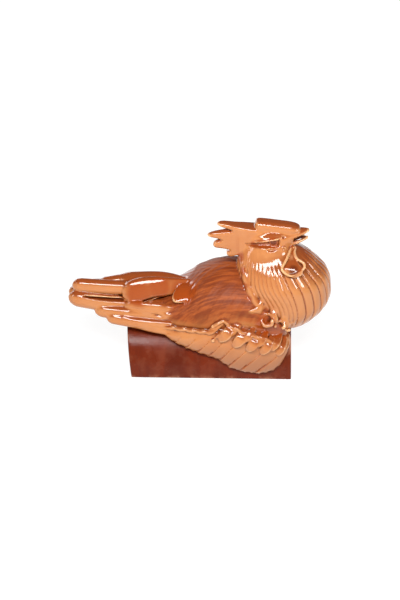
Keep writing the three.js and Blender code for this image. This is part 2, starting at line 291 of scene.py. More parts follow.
def ellipse_distance(u, a, v, b):
    """Near the rim, the distance from an ellipse with half axes a and b."""
    share = np.sqrt((u / a) ** 2 + (v / b) ** 2)
    steep = np.sqrt((u / a**2) ** 2 + (v / b**2) ** 2) + 1e-6
    return share * (share - 1) / steep


class Clay:
    """Signed distances on a grid, negative inside. Pieces are pressed on to it and cut away."""

    def __init__(self):
        self.axes = [np.arange(a, b, GRID, dtype=np.float32) for a, b in zip(CLAY_LOW, CLAY_HIGH)]
        self.field = np.full([len(axis) for axis in self.axes], FAR, np.float32)

    def window(self, low, high):
        cut = []
        for axis, a, b in zip(self.axes, low, high):
            start, stop = np.searchsorted(axis, (a, b))
            cut.append(slice(start, stop))
        places = [axis[c] for axis, c in zip(self.axes, cut)]
        return tuple(cut), np.meshgrid(*places, indexing="ij", sparse=True)

    def press(self, piece, blend):
        low, high, distance = piece
        cut, places = self.window(low, high)
        self.field[cut] = smooth_min(self.field[cut], distance(*places), blend)

    def carve(self, piece, blend):
        low, high, distance = piece
        cut, places = self.window(low, high)
        self.field[cut] = smooth_max(self.field[cut], -distance(*places), blend)

    def sample(self, values, points):
        """Values on the grid, read between its points."""
        local = (points - np.array(CLAY_LOW)) / GRID
        limit = np.array(values.shape) - 2
        cell = np.clip(local.astype(int), 0, limit)
        f = np.clip(local - cell, 0, 1)
        total = np.zeros(len(points))
        for corner in np.ndindex(2, 2, 2):
            weight = np.prod(np.where(corner, f, 1 - f), axis=1)
            i, j, k = (cell + corner).T
            total += weight * values[i, j, k]
        return total

    def crowding(self, reach):
        """Share of clay within reach of each grid point: half on a flat face, more in a hollow."""
        share = (self.field < 0).astype(np.float32)
        size = 2 * int(round(reach / GRID)) + 1
        for axis in range(3):
            pad = [(0, 0)] * 3
            pad[axis] = (size // 2 + 1, size // 2)
            total = np.cumsum(np.pad(share, pad, mode="edge"), axis=axis, dtype=np.float32)
            length = share.shape[axis]
            ahead = np.take(total, np.arange(size, size + length), axis=axis)
            behind = np.take(total, np.arange(length), axis=axis)
            share = (ahead - behind) / size
        return share


torso_at = through(TORSO)
neck_at = through(NECK)
head_at = through(HEAD)
ridge_at = through(WING_RIDGE)
foot_at = through(WING_FOOT)


def tile_radius(x):
    share = (x - TILE_MIDDLE) / TILE_LENGTH + 0.5
    return TILE_RADIUS_TAIL + (TILE_RADIUS_BREAST - TILE_RADIUS_TAIL) * share


def barbs(x, aside, z):
    """Fine lines combed over the back, from the neck out and down to the rear."""
    across = 0.62 * x + 0.78 * aside + 3 * np.sin(x / 19 + aside / 31)
    fine = np.sin(across / 0.9 + 1.7 * np.sin(x / 23))
    broad = np.sin(across / 2.3 + 2 * np.sin(aside / 17))
    return BARB_DEPTH * (0.5 * fine + broad) * ease(z, 100, 125)


def barrel(stations, at, relief=None):
    """A body of ellipses across X."""
    first, last = stations[0][0], stations[-1][0]
    reach = max(row[1] for row in stations) + FAR
    low = (first - FAR, -reach, min(row[4] for row in stations) - FAR)
    high = (last + FAR, reach, max(row[3] for row in stations) + FAR)

    def distance(x, y, z):
        half, wide, crown, keel = at(x)
        rise = np.where(z > wide, crown - wide, wide - keel)
        round_about = ellipse_distance(y, half, z - wide, rise)
        if relief:
            round_about = round_about + relief(x, np.abs(y), z)
        return smooth_max(round_about, np.maximum(x - last, first - x), 6)

    return low, high, distance


def hackle_groove(x, y, z):
    """Where the grooves between the hackle feathers run, 1 in a groove, and each feather's crown."""
    middle, length, width = neck_at(z)
    turn = np.abs(np.arctan2(y / width, (x - middle) / length))
    sway = turn + HACKLE_SWAY * np.sin(z / HACKLE_SWAY_LENGTH) * ease(turn, 1.2, 1.8)
    fine = sway > HACKLE_FINE_FROM
    place = (sway + np.maximum(sway - HACKLE_FINE_FROM, 0)) / HACKLE_WIDE
    edge = 2 * np.abs(place - np.floor(place) - 0.5)
    arc = (1 - edge) * np.where(fine, 0.5, 1) * HACKLE_WIDE * length / 2
    strength = ease(z, 84, 112) * ease(-z, -226, -202) * np.where(fine, HACKLE_FINE_SHARE, 1)
    return np.exp(-((arc / HACKLE_GROOVE) ** 2)) * strength, edge**2 * strength


def neck():
    """The neck and breast, with hackle feathers that fan down from the head."""
    bottom, top = NECK[-1][0], NECK[0][0]
    low, high = (60, -92, bottom - FAR), (246, 92, top + FAR)

    def distance(x, y, z):
        middle, length, width = neck_at(z)
        groove, crown = hackle_groove(x, y, z)
        round_about = ellipse_distance(x - middle, length, y, width)
        round_about = round_about + HACKLE_DEPTH * groove + HACKLE_CROWN * crown
        lean = 0.55 + 0.45 * ease(z, 72, 130)
        return smooth_max(round_about * lean, np.maximum(z - top, bottom - z), 6)

    return low, high, distance


def polygon_distance(outline, x, z):
    """Signed distance in the X, Z plane from a closed outline, negative inside."""
    nearest = np.full(np.broadcast(x, z).shape, 1e9)
    inside = np.zeros(nearest.shape, bool)
    for (ax, az), (bx, bz) in zip(outline, np.roll(outline, -1, axis=0)):
        dx, dz = bx - ax, bz - az
        share = np.clip(((x - ax) * dx + (z - az) * dz) / (dx * dx + dz * dz), 0, 1)
        nearest = np.minimum(nearest, np.hypot(x - ax - share * dx, z - az - share * dz))
        if bz != az:
            crosses = ((az > z) != (bz > z)) & (x < ax + (z - az) / dz * dx)
            inside ^= crosses
    return np.where(inside, -nearest, nearest)


def plate(corners, half_thickness, edge):
    """A slab in the plane of symmetry with rounded edges; half_thickness depends on x."""
    outline = spline(corners, np.arange(0, 1, 0.2 / len(corners)), closed=True)
    (x0, z0), (x1, z1) = outline.min(axis=0), outline.max(axis=0)
    low, high = (x0 - FAR, -24, z0 - FAR), (x1 + FAR, 24, z1 + FAR)

    def distance(x, y, z):
        flat = polygon_distance(outline, x, z)
        aside, outward = np.abs(y) - half_thickness(x) + edge, flat + edge
        outer = np.hypot(np.maximum(aside, 0), np.maximum(outward, 0))
        return outer + np.minimum(np.maximum(aside, outward), 0) - edge

    return low, high, distance


def plume(path, width, thickness, face, root=0.6, flute=0.0, pointed=0.6, shape=None, dish=0.0):
    """A feather: a flattened tongue along a path, swelling from its root and round at the tip."""
    count = 26
    run = np.sin(np.linspace(0, math.pi / 2, count))
    spine = spline(path, run)
    along = np.gradient(spine, axis=0)
    along /= np.linalg.norm(along, axis=1, keepdims=True)
    across = np.cross(along, face)
    across /= np.linalg.norm(across, axis=1, keepdims=True)
    out = np.cross(across, along)
    length = np.linalg.norm(np.diff(spine, axis=0), axis=1).sum()
    if shape:
        half = through(shape)(run)[0] / 2
    else:
        tip_from = 1 - pointed * width / length
        swell = root + (1 - root) * np.sin(np.pi / 2 * np.minimum(1, run / 0.6))
        taper = np.sqrt(np.maximum(1 - (np.maximum(run - tip_from, 0) / (1 - tip_from)) ** 2, 0.01))
        half = swell * taper / 2
    reach = max(width, thickness) / 2 + FAR
    low, high = spine.min(axis=0) - reach, spine.max(axis=0) + reach

    def distance(x, y, z):
        nearest = np.full(np.broadcast(x, y, z).shape, 1e9, np.float32)
        for i in range(count - 1):
            start, step = spine[i], spine[i + 1] - spine[i]
            px, py, pz = x - start[0], y - start[1], z - start[2]
            run_on = (px * step[0] + py * step[1] + pz * step[2]) / (step @ step)
            share = np.clip(run_on, 0, 1)
            px, py, pz = px - run_on * step[0], py - run_on * step[1], pz - run_on * step[2]
            size = half[i] + share * (half[i + 1] - half[i])
            u = px * across[i, 0] + py * across[i, 1] + pz * across[i, 2]
            v = px * out[i, 0] + py * out[i, 1] + pz * out[i, 2]
            rim = ellipse_distance(u, width * size, v, thickness * size)
            if flute:
                rim = rim + flute * np.exp(-((u / (0.16 * width * size + 0.5)) ** 2)) * (v > 0)
            if dish:
                rim = rim + dish * np.maximum(1 - (u / (0.8 * width * size)) ** 2, 0) * (v > 0)
            past = np.abs(run_on - share) * np.linalg.norm(step)
            past = np.where(past > 0, past - JOINT_SLACK, -FAR)
            outside = np.hypot(np.maximum(rim, 0), np.maximum(past, 0))
            nearest = np.minimum(nearest, outside + np.minimum(np.maximum(rim, past), 0))
        return nearest

    return low, high, distance


def mirrored(piece, drop=0.0):
    """The same piece on the left side, set lower by a drop."""
    low, high, distance = piece
    new_low = (low[0], -high[1], low[2] - drop)
    new_high = (high[0], -low[1], high[2] - drop)
    return new_low, new_high, lambda x, y, z: distance(x, -y, z + drop)


def both(piece):
    return [piece, mirrored(piece)]


def ball(middle, half_axes):
    low, high = np.array(middle) - half_axes - FAR, np.array(middle) + half_axes + FAR

    def distance(x, y, z):
        parts = [(p - m) / h for p, m, h in zip((x, y, z), middle, half_axes)]
        share = np.sqrt(sum(p * p for p in parts))
        steep = np.sqrt(sum((p / h) ** 2 for p, h in zip(parts, half_axes))) + 1e-6
        return share * (share - 1) / steep

    return low, high, distance


def ring(middle, face, radius, thickness):
    """A torus round a middle, facing a direction."""
    normal = np.array(face) / np.linalg.norm(face)
    reach = radius + thickness + FAR
    low, high = np.array(middle) - reach, np.array(middle) + reach

    def distance(x, y, z):
        px, py, pz = x - middle[0], y - middle[1], z - middle[2]
        lift = px * normal[0] + py * normal[1] + pz * normal[2]
        flat = np.sqrt(np.maximum(px * px + py * py + pz * pz - lift * lift, 0))
        return np.hypot(flat - radius, lift) - thickness

    return low, high, distance


def wing_surface(x, z):
    """Half width of the wing's outer face at a place on its side, with its shingled quills."""
    half, ridge = ridge_at(x)
    (foot,) = foot_at(x)
    stand = np.sqrt(np.maximum(tile_radius(x) ** 2 - foot**2, 0)) + WING_PROUD
    down = np.clip((ridge - z) / np.maximum(ridge - foot, 1), 0, 1)
    lean_in = 0.35 * np.maximum(z - ridge, 0)
    smooth = (1 - down) * half + down * stand + 4 * WING_BULGE * down * (1 - down) - lean_in
    place = (x + QUILL_LEAN * (ridge - z)) / QUILL_PITCH
    shingle = QUILL_DEPTH * (1 - (place - np.floor(place))) ** 1.5
    return smooth + shingle * ease(down, 0.15, 0.4) - QUILL_CUT * quill_groove(x, z)


def quill_groove(x, z):
    """Where the short grooves between the wing's quills run, 1 in a groove."""
    _, ridge = ridge_at(x)
    (foot,) = foot_at(x)
    down = np.clip((ridge - z) / np.maximum(ridge - foot, 1), 0, 1)
    place = (x + QUILL_LEAN * (ridge - z)) / QUILL_PITCH
    off = QUILL_PITCH * np.abs(place - np.round(place))
    return np.exp(-((off / QUILL_GROOVE) ** 2)) * ease(down, 0.4, 0.75)


def wings():
    xs = np.linspace(WING_REAR, WING_FRONT, 150)
    _, ridge = ridge_at(xs)
    (foot,) = foot_at(xs)
    scallop = RIDGE_SCALLOP_DEPTH * np.abs(np.sin(np.pi * xs / RIDGE_SCALLOP))
    top = np.maximum(ridge + 4 + scallop, foot + 8)
    lower = foot + FOOT_SCALLOP * np.abs(np.sin(2 * np.pi * xs / QUILL_PITCH))
    outline = np.concatenate([np.c_[xs, top], np.c_[xs, lower][::-1]])
    low, high = (WING_REAR - FAR, -114, 0), (WING_FRONT + FAR, 114, 118)

    def distance(x, y, z):
        inside = polygon_distance(outline, x, z)
        return smooth_max(0.85 * (np.abs(y) - wing_surface(x, z)), inside, WING_EDGE)

    return low, high, distance


def flank(x, z):
    """Half width of the body at a place on its side: the back, or the wing where it stands out."""
    half, wide, crown, keel = (float(v) for v in torso_at(x))
    rise = (z - wide) / (crown - wide if z > wide else wide - keel)
    back = half * math.sqrt(max(1 - rise * rise, 0))
    _, ridge = (float(v) for v in ridge_at(x))
    return max(back, float(wing_surface(x, z))) if z < ridge + 6 else back


# Shoulder leaves: their section and lie, then root x and height, tip x and height, width.
LEAF_THICKNESS = 9
LEAF_DISH = 1.2
LEAF_FACE = (0.15, -0.85, 0.75)
LEAF_ROOT_SINK = 4
LEAF_TIP_LIFT = 3
COVERTS = [
    (46, 122, 14, 97, 13),
    (60, 114, 34, 87, 20),
    (74, 118, 51, 97, 16),
    (84, 107, 60, 78, 21),
    (98, 107, 77, 89, 14),
    (108, 99, 85, 71, 20),
    (122, 99, 102, 80, 15),
    (132, 90, 110, 64, 19),
    (148, 88, 128, 70, 14),
    (156, 80, 140, 58, 15),
]


# The rolled edge above the shoulder leaves, and the spans of the rolls along the rear of the ridge.
SHOULDER_ROLL = [
    (24, -90, 112),
    (36, -88, 119),
    (44, -86, 121),
    (56, -90, 111),
    (66, -94, 110),
    (78, -97, 103),
    (90, -98, 104),
    (102, -101, 97),
    (118, -101, 93),
    (132, -99, 83),
    (142, -95, 77),
    (151, -90, 65),
]
SHOULDER_ROLL_RADIUS = 3.6
RIDGE_BEADS = [(-72, -46), (-48, -26), (-29, -8), (-10, 10), (7, 26)]


def coverts():
    """Leaf-shaped feathers that overlap along the shoulder, tips pointing down and to the rear."""
    leaves = []
    for i, (root_x, root_z, tip_x, tip_z, width) in enumerate(COVERTS):
        middle_x, middle_z = (root_x + tip_x) / 2 + 2, (root_z + tip_z) / 2 + 2
        lift = 2 + 2 * (i % 2)
        path = [
            (root_x, -flank(root_x, root_z) + LEAF_ROOT_SINK, root_z),
            (middle_x, -flank(middle_x, middle_z) - lift, middle_z),
            (tip_x, -flank(tip_x, tip_z) - LEAF_TIP_LIFT, tip_z),
        ]
        leaves.append(plume(path, width, LEAF_THICKNESS, LEAF_FACE, pointed=1.1, dish=LEAF_DISH))
    return leaves


def ridge_beads():
    """Short rolled feather edges, end to end along the wing's ridge."""
    beads = []
    for start, end in RIDGE_BEADS:
        path = []
        for x, sag in ((start, 0), ((start + end) / 2, 1.5), (end, 0)):
            half, ridge = (float(v) for v in ridge_at(x))
            path.append((x, -half + 1, ridge + 5 - sag))
        beads.append(plume(path, 9, 8, (0, -0.7, 0.7)))
    return beads


def pool_valley():
    """The hollow between the shoulder's leaves and the neck, where the glaze gathers."""
    path = [(66, -90, 116), (108, -93, 105), (150, -86, 95)]
    return plume(path, 14, 12, (0, -1, 0.6), shape=[(0, 0.1), (0.35, 0.7), (0.65, 0.7), (1, 0.1)])


def shaft():
    """A bare quill with a round drop at its end, lying on the wing."""
    path = [(x, -flank(x, z) - 1, z) for x, z in ((40, 104), (32, 96), (24, 86))]
    return plume(path, 4.5, 4.5, (0, -1, 0.5), root=1), ball(path[2], np.array([4, 4, 4]))


def curl(middle, face, radius, width, start, end):
    """A feather tip rolled round into an open hook, seen from its face."""
    normal = np.array(face) / np.linalg.norm(face)
    right = np.cross((0, 0, 1), normal)
    right /= np.linalg.norm(right)
    upward = np.cross(normal, right)
    path = []
    for share in np.linspace(0, 1, 6):
        turn = math.radians(start + share * (end - start))
        size = radius * (CURL_OPEN - CURL_CLOSE * share)
        around = math.cos(turn) * right + math.sin(turn) * upward
        path.append(np.array(middle) + size * around + CURL_RISE * share * normal)
    return plume(path, width, width, normal, root=0.8)


def hackle_tips():
    """Feathers that curl off the foot of the cape on to the shoulder."""
    point = plume([(122, -62, 146), (108, -74, 142), (90, -81, 139)], 12, 8, (0, -0.8, 0.6), pointed=1.4)
    falls = [
        plume([(134, -70, 142), (134, -79, 130), (138, -84, 116)], 14, 9, (-0.3, -1, 0.2)),
        plume([(152, -74, 132), (155, -78, 116), (160, -76, 100)], 15, 9, (-0.1, -1, 0)),
        plume([(113, -64, 158), (109, -71, 147), (107, -78, 134)], 12, 8, (-0.5, -1, 0.3)),
    ]
    curls = [
        curl((124, -85, 122), (-0.2, -0.8, 0.7), 12, 7, 60, 380),
        curl((147, -84, 110), (-0.1, -0.8, 0.7), 9, 6, 200, -60),
        curl((162, -78, 103), (0.2, -0.9, 0.6), 8, 5.5, 40, 290),
    ]
    return [point, *falls, *curls]


def nape():
    """The rolled border of the cape from the nape down to the shoulder."""
    path = [(74, -6, 214), (78, -34, 196), (84, -50, 176), (95, -64, 155), (106, -73, 140)]
    return plume(np.array(path) + (3, 0, 0), 15, 12, (-1, -0.6, 0.4), root=0.9)


def ruffles():
    """Short feathers on the cheek."""
    rows = [
        (118, -28, 234, 104, -27, 227, 8),
        (106, -24, 234, 93, -22, 228, 8),
        (128, -31, 232, 117, -34, 223, 8),
    ]
    pieces = []
    for x0, y0, z0, x1, y1, z1, width in rows:
        path = [(x0, y0, z0), ((x0 + x1) / 2, (y0 + y1) / 2 - 2, (z0 + z1) / 2 + 1), (x1, y1, z1)]
        pieces.append(plume(path, width + 2, 4, (0, -1, 0.3), pointed=0.9))
    return pieces


# The wattle's rim seen from the side: x and the height of each point on the sloping drop.
WATTLE_RIM = [
    (168, 188),
    (164, 181),
    (157, 164),
    (149, 149),
    (153, 141),
    (166, 135),
    (183, 143),
    (190, 151),
    (188, 158),
    (177, 166),
    (172, 177),
    (173, 186),
]
WATTLE_FACE = (0.1, -0.72, 0.69)
WATTLE_SLOPE = (0.559, 0.829)
WATTLE_CORD = 2.5


def wattle():
    """A hanging drop on each cheek: a thin tongue, and the rim round it."""
    rim = []
    for x, climb in WATTLE_RIM:
        y = np.interp(climb, (133, 150, 168, 188), (-67, -57, -41, -17)) + 0.2 * (x - 166)
        rim.append((x, y, (climb - WATTLE_SLOPE[0] * y) / WATTLE_SLOPE[1]))
    loop = np.array(rim + rim[:1])
    back = 3 * np.array(WATTLE_FACE)
    path = np.array([(170, -15, 238), (168, -40, 230), (169, -56, 217), (166, -65, 205)]) - back
    shape = [(0, 0.14), (0.3, 0.3), (0.5, 0.6), (0.68, 0.98), (0.84, 0.95), (1, 0.4)]
    return plume(path, 38, 9, WATTLE_FACE, shape=shape), tube(loop, WATTLE_CORD)


def tube(points, radius):
    """A round cord along a smooth line."""
    count = 8 * len(points)
    spine = spline(points, np.linspace(0, 1, count))
    low, high = spine.min(axis=0) - radius - FAR, spine.max(axis=0) + radius + FAR

    def distance(x, y, z):
        nearest = np.full(np.broadcast(x, y, z).shape, 1e9, np.float32)
        for start, end in zip(spine[:-1], spine[1:]):
            step = end - start
            px, py, pz = x - start[0], y - start[1], z - start[2]
            share = np.clip((px * step[0] + py * step[1] + pz * step[2]) / (step @ step), 0, 1)
            px, py, pz = px - share * step[0], py - share * step[1], pz - share * step[2]
            nearest = np.minimum(nearest, px * px + py * py + pz * pz)
        return np.sqrt(nearest) - radius

    return low, high, distance


def eye_cuts():
    """The almond hollow round the eye, the slit under the brow and the fold under the lid."""
    almond = [(84, -14, 241), (110, -25, 247), (135, -31, 252), (149, -28, 255)]
    almond_shape = [(0, 0.2), (0.35, 0.5), (0.75, 1), (0.9, 0.8), (1, 0.3)]
    brow = [(98, -19, 253), (121, -28, 263), (146, -27, 265)]
    fold = [(122, -32, 240), (130, -33, 239), (140, -31, 241)]
    return [
        (plume(almond, 20, 24, (0, -1, 0.1), shape=almond_shape), 2),
        (plume(brow, 4, 9, (0, -1, 0.3), root=0.5), 1.5),
        (plume(fold, 3.5, 8, (0, -1, 0), root=0.5), 1.5),
        (ball((152, -19, 260), np.array([3, 3, 2])), 1),
    ]


def eye_parts():
    lid = [(92, -13, 245), (116, -23, 254), (143, -25, 260)]
    return [
        ball((134, -19, 252), np.array([6.5, 7, 6.5])),
        ring((134, -23, 252), (0.05, -1, 0.15), 7.2, 1.3),
        plume(lid, 3, 6, (0, -1, 0.2), root=0.7),
        ring((152, -26, 239), (0.3, -1, 0.1), 4, 1.8),
    ]


def beak(clay):
    upper = [(146, 0, 252), (172, 0, 258), (198, 0, 264)]
    lower = [(146, 0, 236), (172, 0, 241), (196, 0, 248)]
    mouth = [(156, 0, 245), (178, 0, 249), (198, 0, 255)]
    beak_shape = [(0, 1), (0.35, 0.95), (0.7, 0.66), (0.9, 0.42), (1, 0.25)]
    clay.press(plume(lower, 30, 13, (0, 0, 1), shape=beak_shape), 4)
    clay.carve(plume(mouth, 23, 11, (0, 0, 1), shape=beak_shape), 1.5)
    clay.press(plume(upper, 36, 19, (0, 0, 1), shape=beak_shape), 3)


def tail():
    near = []
    for i, (path, width, thick) in enumerate(TAIL):
        if i == TAIL_LEAF:
            near.append(plume(path, width, thick, TAIL_LEAF_FACE, shape=TAIL_LEAF_SHAPE, dish=3))
        else:
            near.append(plume(path, width, thick, TAIL_FACE, flute=0.8))
    far = near[FAR_TAIL_FROM:]
    drops = np.linspace(FAR_TAIL_DROP, 0, len(far))
    return near + [mirrored(piece, drop) for piece, drop in zip(far, drops)]


def tail_flap():
    """The curled root of the great tail feather where it lies on the back."""
    path = [(-4, -12, 143), (-25, -30, 147), (-48, -47, 139)]
    return plume(path, 38, 12, (-0.3, -0.6, 0.75), pointed=0.9)


def tail_slits():
    return [
        plume([(-112, -36, 129), (-81, -40, 139), (-50, -46, 138)], 6, 26, (0, -1, 0.3), root=0.3),
        plume([(-90, -60, 118), (-79, -64, 117), (-66, -68, 114)], 5, 20, (0, -1, 0.3), root=0.3),
        plume([(-215, -26, 136), (-180, -30, 133), (-140, -32, 131)], 5, 20, (0, -1, 0.3), root=0.2),
    ]


def comb_half(x):
    """Half thickness of the comb's blade, which thickens from the rear lobes to the head."""
    return COMB_THIN + (COMB_THICK - COMB_THIN) * ease(x, COMB_THIN_AT, COMB_THICK_AT)


def model_rooster():
    clay = Clay()
    clay.press(barrel(TORSO, torso_at, barbs), 1)
    for feather in tail():
        clay.press(feather, 2.5)
    for slit in tail_slits():
        for piece in both(slit):
            clay.carve(piece, 2)
    clay.press(tail_flap(), 2)
    clay.press(wings(), 3)
    for valley in both(pool_valley()):
        clay.carve(valley, 8)
    for leaf in (*ridge_beads(), *coverts(), tube(SHOULDER_ROLL, SHOULDER_ROLL_RADIUS), *shaft()):
        for piece in both(leaf):
            clay.press(piece, 1.5)
    clay.press(neck(), 3)
    for piece in both(nape()):
        clay.press(piece, 2.5)
    for tip in hackle_tips():
        for piece in both(tip):
            clay.press(piece, 2)
    clay.press(barrel(HEAD, head_at), 8)
    clay.press(plate(COMB_BLADE, comb_half, COMB_EDGE), 5)
    clay.press(plate(FRONT_LOBE, lambda x: FRONT_LOBE_HALF, FRONT_LOBE_EDGE), 3)
    for ruffle in ruffles():
        for piece in both(ruffle):
            clay.press(piece, 2)
    for cut, blend in eye_cuts():
        for piece in both(cut):
            clay.carve(piece, blend)
    for part in eye_parts():
        for piece in both(part):
            clay.press(piece, 1.5)
    beak(clay)
    for part in wattle():
        for piece in both(part):
            clay.press(piece, 1.5)
    clay.carve(tile_core(), 0.5)
    return clay


def tile_core():
    """The round that the tile fills, which the rooster is cut to sit on."""
    low, high = (CLAY_LOW[0], -114, -4), (CLAY_HIGH[0], 114, 120)
    start, end = TILE_MIDDLE - TILE_LENGTH / 2, TILE_MIDDLE + TILE_LENGTH / 2

    def distance(x, y, z):
        round_about = np.hypot(y, z) - tile_radius(x) - 0.3
        return np.maximum(round_about, np.maximum(start - x, x - end))

    return low, high, distance


def mesh_object(name, points, faces):
    mesh = bpy.data.meshes.new(name)
    mesh.from_pydata(points.tolist(), [], faces)
    mesh.validate()
    mesh.shade_smooth()
    piece = bpy.data.objects.new(name, mesh)
    bpy.context.scene.collection.objects.link(piece)
    return piece


def apply_modifiers(piece):
    graph = bpy.context.evaluated_depsgraph_get()
    mesh = bpy.data.meshes.new_from_object(piece.evaluated_get(graph))
    piece.modifiers.clear()
    old = piece.data
    piece.data = mesh
    bpy.data.meshes.remove(old)
    mesh.name = piece.name


def paint(piece, name, values):
    layer = piece.data.attributes.new(name, "FLOAT", "POINT")
    layer.data.foreach_set("value", np.asarray(values, np.float32))


def vertices(piece):
    flat = np.empty(3 * len(piece.data.vertices), np.float32)
    piece.data.vertices.foreach_get("co", flat)
    return flat.reshape(-1, 3)


# Places where the glaze gathers: x, distance from the plane of symmetry, height, reach.
POOLS = [
    (134, 24, 252, 6),
    (170, 58, 214, 9),
    (184, 0, 248, 9),
    (127, 82, 121, 5),
]
# Places painted clear dark amber: x, distance from the plane of symmetry, height, reach. Most mark amber
# glaze at the shoulder, the tail roots and the eye; the nape rows are painted shade.
AMBER_PLACES = [
    (120, 84, 110, 20),
    (138, 84, 100, 14),
    (154, 80, 92, 12),
    (-75, 28, 155, 22),
    (-110, 34, 146, 24),
    (-30, 32, 150, 26),
    # Painted shade: the nape's roll, turned away from the light, is painted dark amber.
    (78, 12, 212, 12),
    (79, 34, 195, 9),
    (84, 50, 175, 8),
    (93, 62, 156, 7),
    (133, 26, 252, 11),
    (112, 22, 248, 8),
    (98, 15, 245, 6),
]


def near_any(places, at):
    """How close each point is to one of a list of places, on either side: 1 inside, 0 well away."""
    share = np.zeros(len(at))
    folded = np.c_[at[:, 0], np.abs(at[:, 1]), at[:, 2]]
    for x, aside, z, reach in places:
        gap = np.linalg.norm(folded - (x, aside, z), axis=1) / reach
        share = np.maximum(share, 1 - ease(gap, 0.7, 1.3))
    return share


def largest_part(points, faces):
    """Only the largest connected part of a mesh, without loose crumbs or closed bubbles."""
    label = np.arange(len(points))
    settled = False
    while not settled:
        before = label.copy()
        np.minimum.at(label, faces, label[faces].min(axis=1, keepdims=True))
        label = label[label]
        settled = np.array_equal(label, before)
    names, sizes = np.unique(label, return_counts=True)
    kept = label == names[np.argmax(sizes)]
    renumbered = np.cumsum(kept) - 1
    return points[kept], renumbered[faces[kept[faces[:, 0]]]]


def make_rooster():
    clay = model_rooster()
    grid = openvdb.FloatGrid(FAR)
    grid.copyFromArray(np.clip(clay.field, -FAR, FAR))
    points, _, quads = grid.convertToPolygons(isovalue=0.0, adaptivity=0.0)
    points, quads = largest_part(points * GRID + np.array(CLAY_LOW), quads.astype(int))
    piece = mesh_object("rooster_glazed", points * MM, quads[:, ::-1].tolist())
    if 2 * len(quads) > MOST_TRIANGLES:
        thin = piece.modifiers.new("thin", "DECIMATE")
        thin.ratio = MOST_TRIANGLES / (2 * len(quads))
        apply_modifiers(piece)
        piece.data.shade_smooth()
    at = vertices(piece) / MM
    paint(piece, "hollow", clay.sample(clay.crowding(HOLLOW_REACH), at))
    paint(piece, "hollow_wide", clay.sample(clay.crowding(HOLLOW_WIDE_REACH), at))
    _, _, off_neck = neck()
    groove, _ = hackle_groove(*at.T)
    on_neck = groove * np.exp(-((off_neck(*at.T) / 1.5) ** 2))
    aside = np.abs(at[:, 1])
    on_wing = np.abs(aside - wing_surface(at[:, 0], at[:, 2])) < 2.5
    on_wing &= (at[:, 0] > WING_REAR) & (at[:, 0] < WING_FRONT)
    paint(piece, "groove", np.maximum(on_neck, on_wing * quill_groove(at[:, 0], at[:, 2])))
    paint(piece, "pool", near_any(POOLS, at))
    paint(piece, "amber", near_any(AMBER_PLACES, at))
    _, _, off_back = barrel(TORSO, torso_at)
    paint(piece, "back", np.exp(-((off_back(*at.T) / 1.6) ** 2)) * ease(at[:, 2], 92, 112))
    return piece


def make_tile():
    """The half-round shell, its section rounded at the two long edges and both ends."""
    turns = np.linspace(0, math.pi, TILE_TURNS)
    rings = []
    end = TILE_LENGTH / 2
    lengths = np.concatenate([
        -end + TILE_EDGE * (1 - np.cos(np.linspace(0, math.pi / 2, 4))),
        np.linspace(-end + TILE_END, end - TILE_END, TILE_RINGS),
        end - TILE_EDGE * (1 - np.cos(np.linspace(math.pi / 2, 0, 4))),
    ])
    for along in lengths:
        x = TILE_MIDDLE + along
        inset = max(0.0, abs(along) - (end - TILE_EDGE))
        shrink = TILE_EDGE - math.sqrt(max(TILE_EDGE**2 - inset**2, 0))
        outer = tile_radius(x) - shrink
        inner = tile_radius(x) - TILE_WALL + shrink
        wobble = 0.35 * np.sin(5 * turns + x / 60) + 0.25 * np.sin(9 * turns - x / 35)
        wobble *= np.sin(turns)
        bed = TILE_EDGE * 0.6
        reach = outer + wobble
        section = list(zip(np.full(len(turns), x), -reach * np.cos(turns), reach * np.sin(turns)))
        section[0] = (x, -outer, bed)
        section[-1] = (x, outer, bed)
        section += [(x, outer - bed, 0), (x, inner + bed, 0)]
        section += [(x, -inner * math.cos(t), max(inner * math.sin(t), bed)) for t in turns[::-1]]
        section += [(x, -inner - bed, 0), (x, -outer + bed, 0)]
        rings.append(section)
    count = len(rings[0])
    points = np.array(rings).reshape(-1, 3)
    near_end = np.clip(1 - (points[:, 0] - TILE_MIDDLE + end) / TILE_SLANT_REACH, 0, 1)
    points[:, 0] += TILE_SLANT * near_end * (1 - np.clip(points[:, 2] / TILE_RADIUS_TAIL, 0, 1)) ** 1.5
    faces = []
    for r in range(len(rings) - 1):
        for i in range(count):
            j = (i + 1) % count
            faces.append((r * count + i, r * count + j, (r + 1) * count + j, (r + 1) * count + i))
    half = len(turns)
    inner_start = half + 2
    for base, flip in ((0, False), ((len(rings) - 1) * count, True)):
        for i in range(half - 1):
            k, m = inner_start + half - 1 - i, inner_start + half - 2 - i
            quad = (base + i, base + k, base + m, base + i + 1)
            faces.append(quad[::-1] if flip else quad)
        foot = (base + half - 1, base + inner_start, base + inner_start - 1, base + half)
        start = (base, base + count - 1, base + count - 2, base + inner_start + half - 1)
        faces.append(foot[::-1] if flip else foot)
        faces.append(start[::-1] if flip else start)
    piece = mesh_object("ridge_tile_glazed", points * MM, faces)
    reach = np.hypot(points[:, 1], points[:, 2]) - tile_radius(points[:, 0])
    ends = end - np.abs(points[:, 0] - TILE_MIDDLE)
    rim = np.minimum(np.minimum(points[:, 2], ends), 10)
    paint(piece, "rim", np.where(reach > -4, np.exp(-rim / 3.5), 0))
    return piece


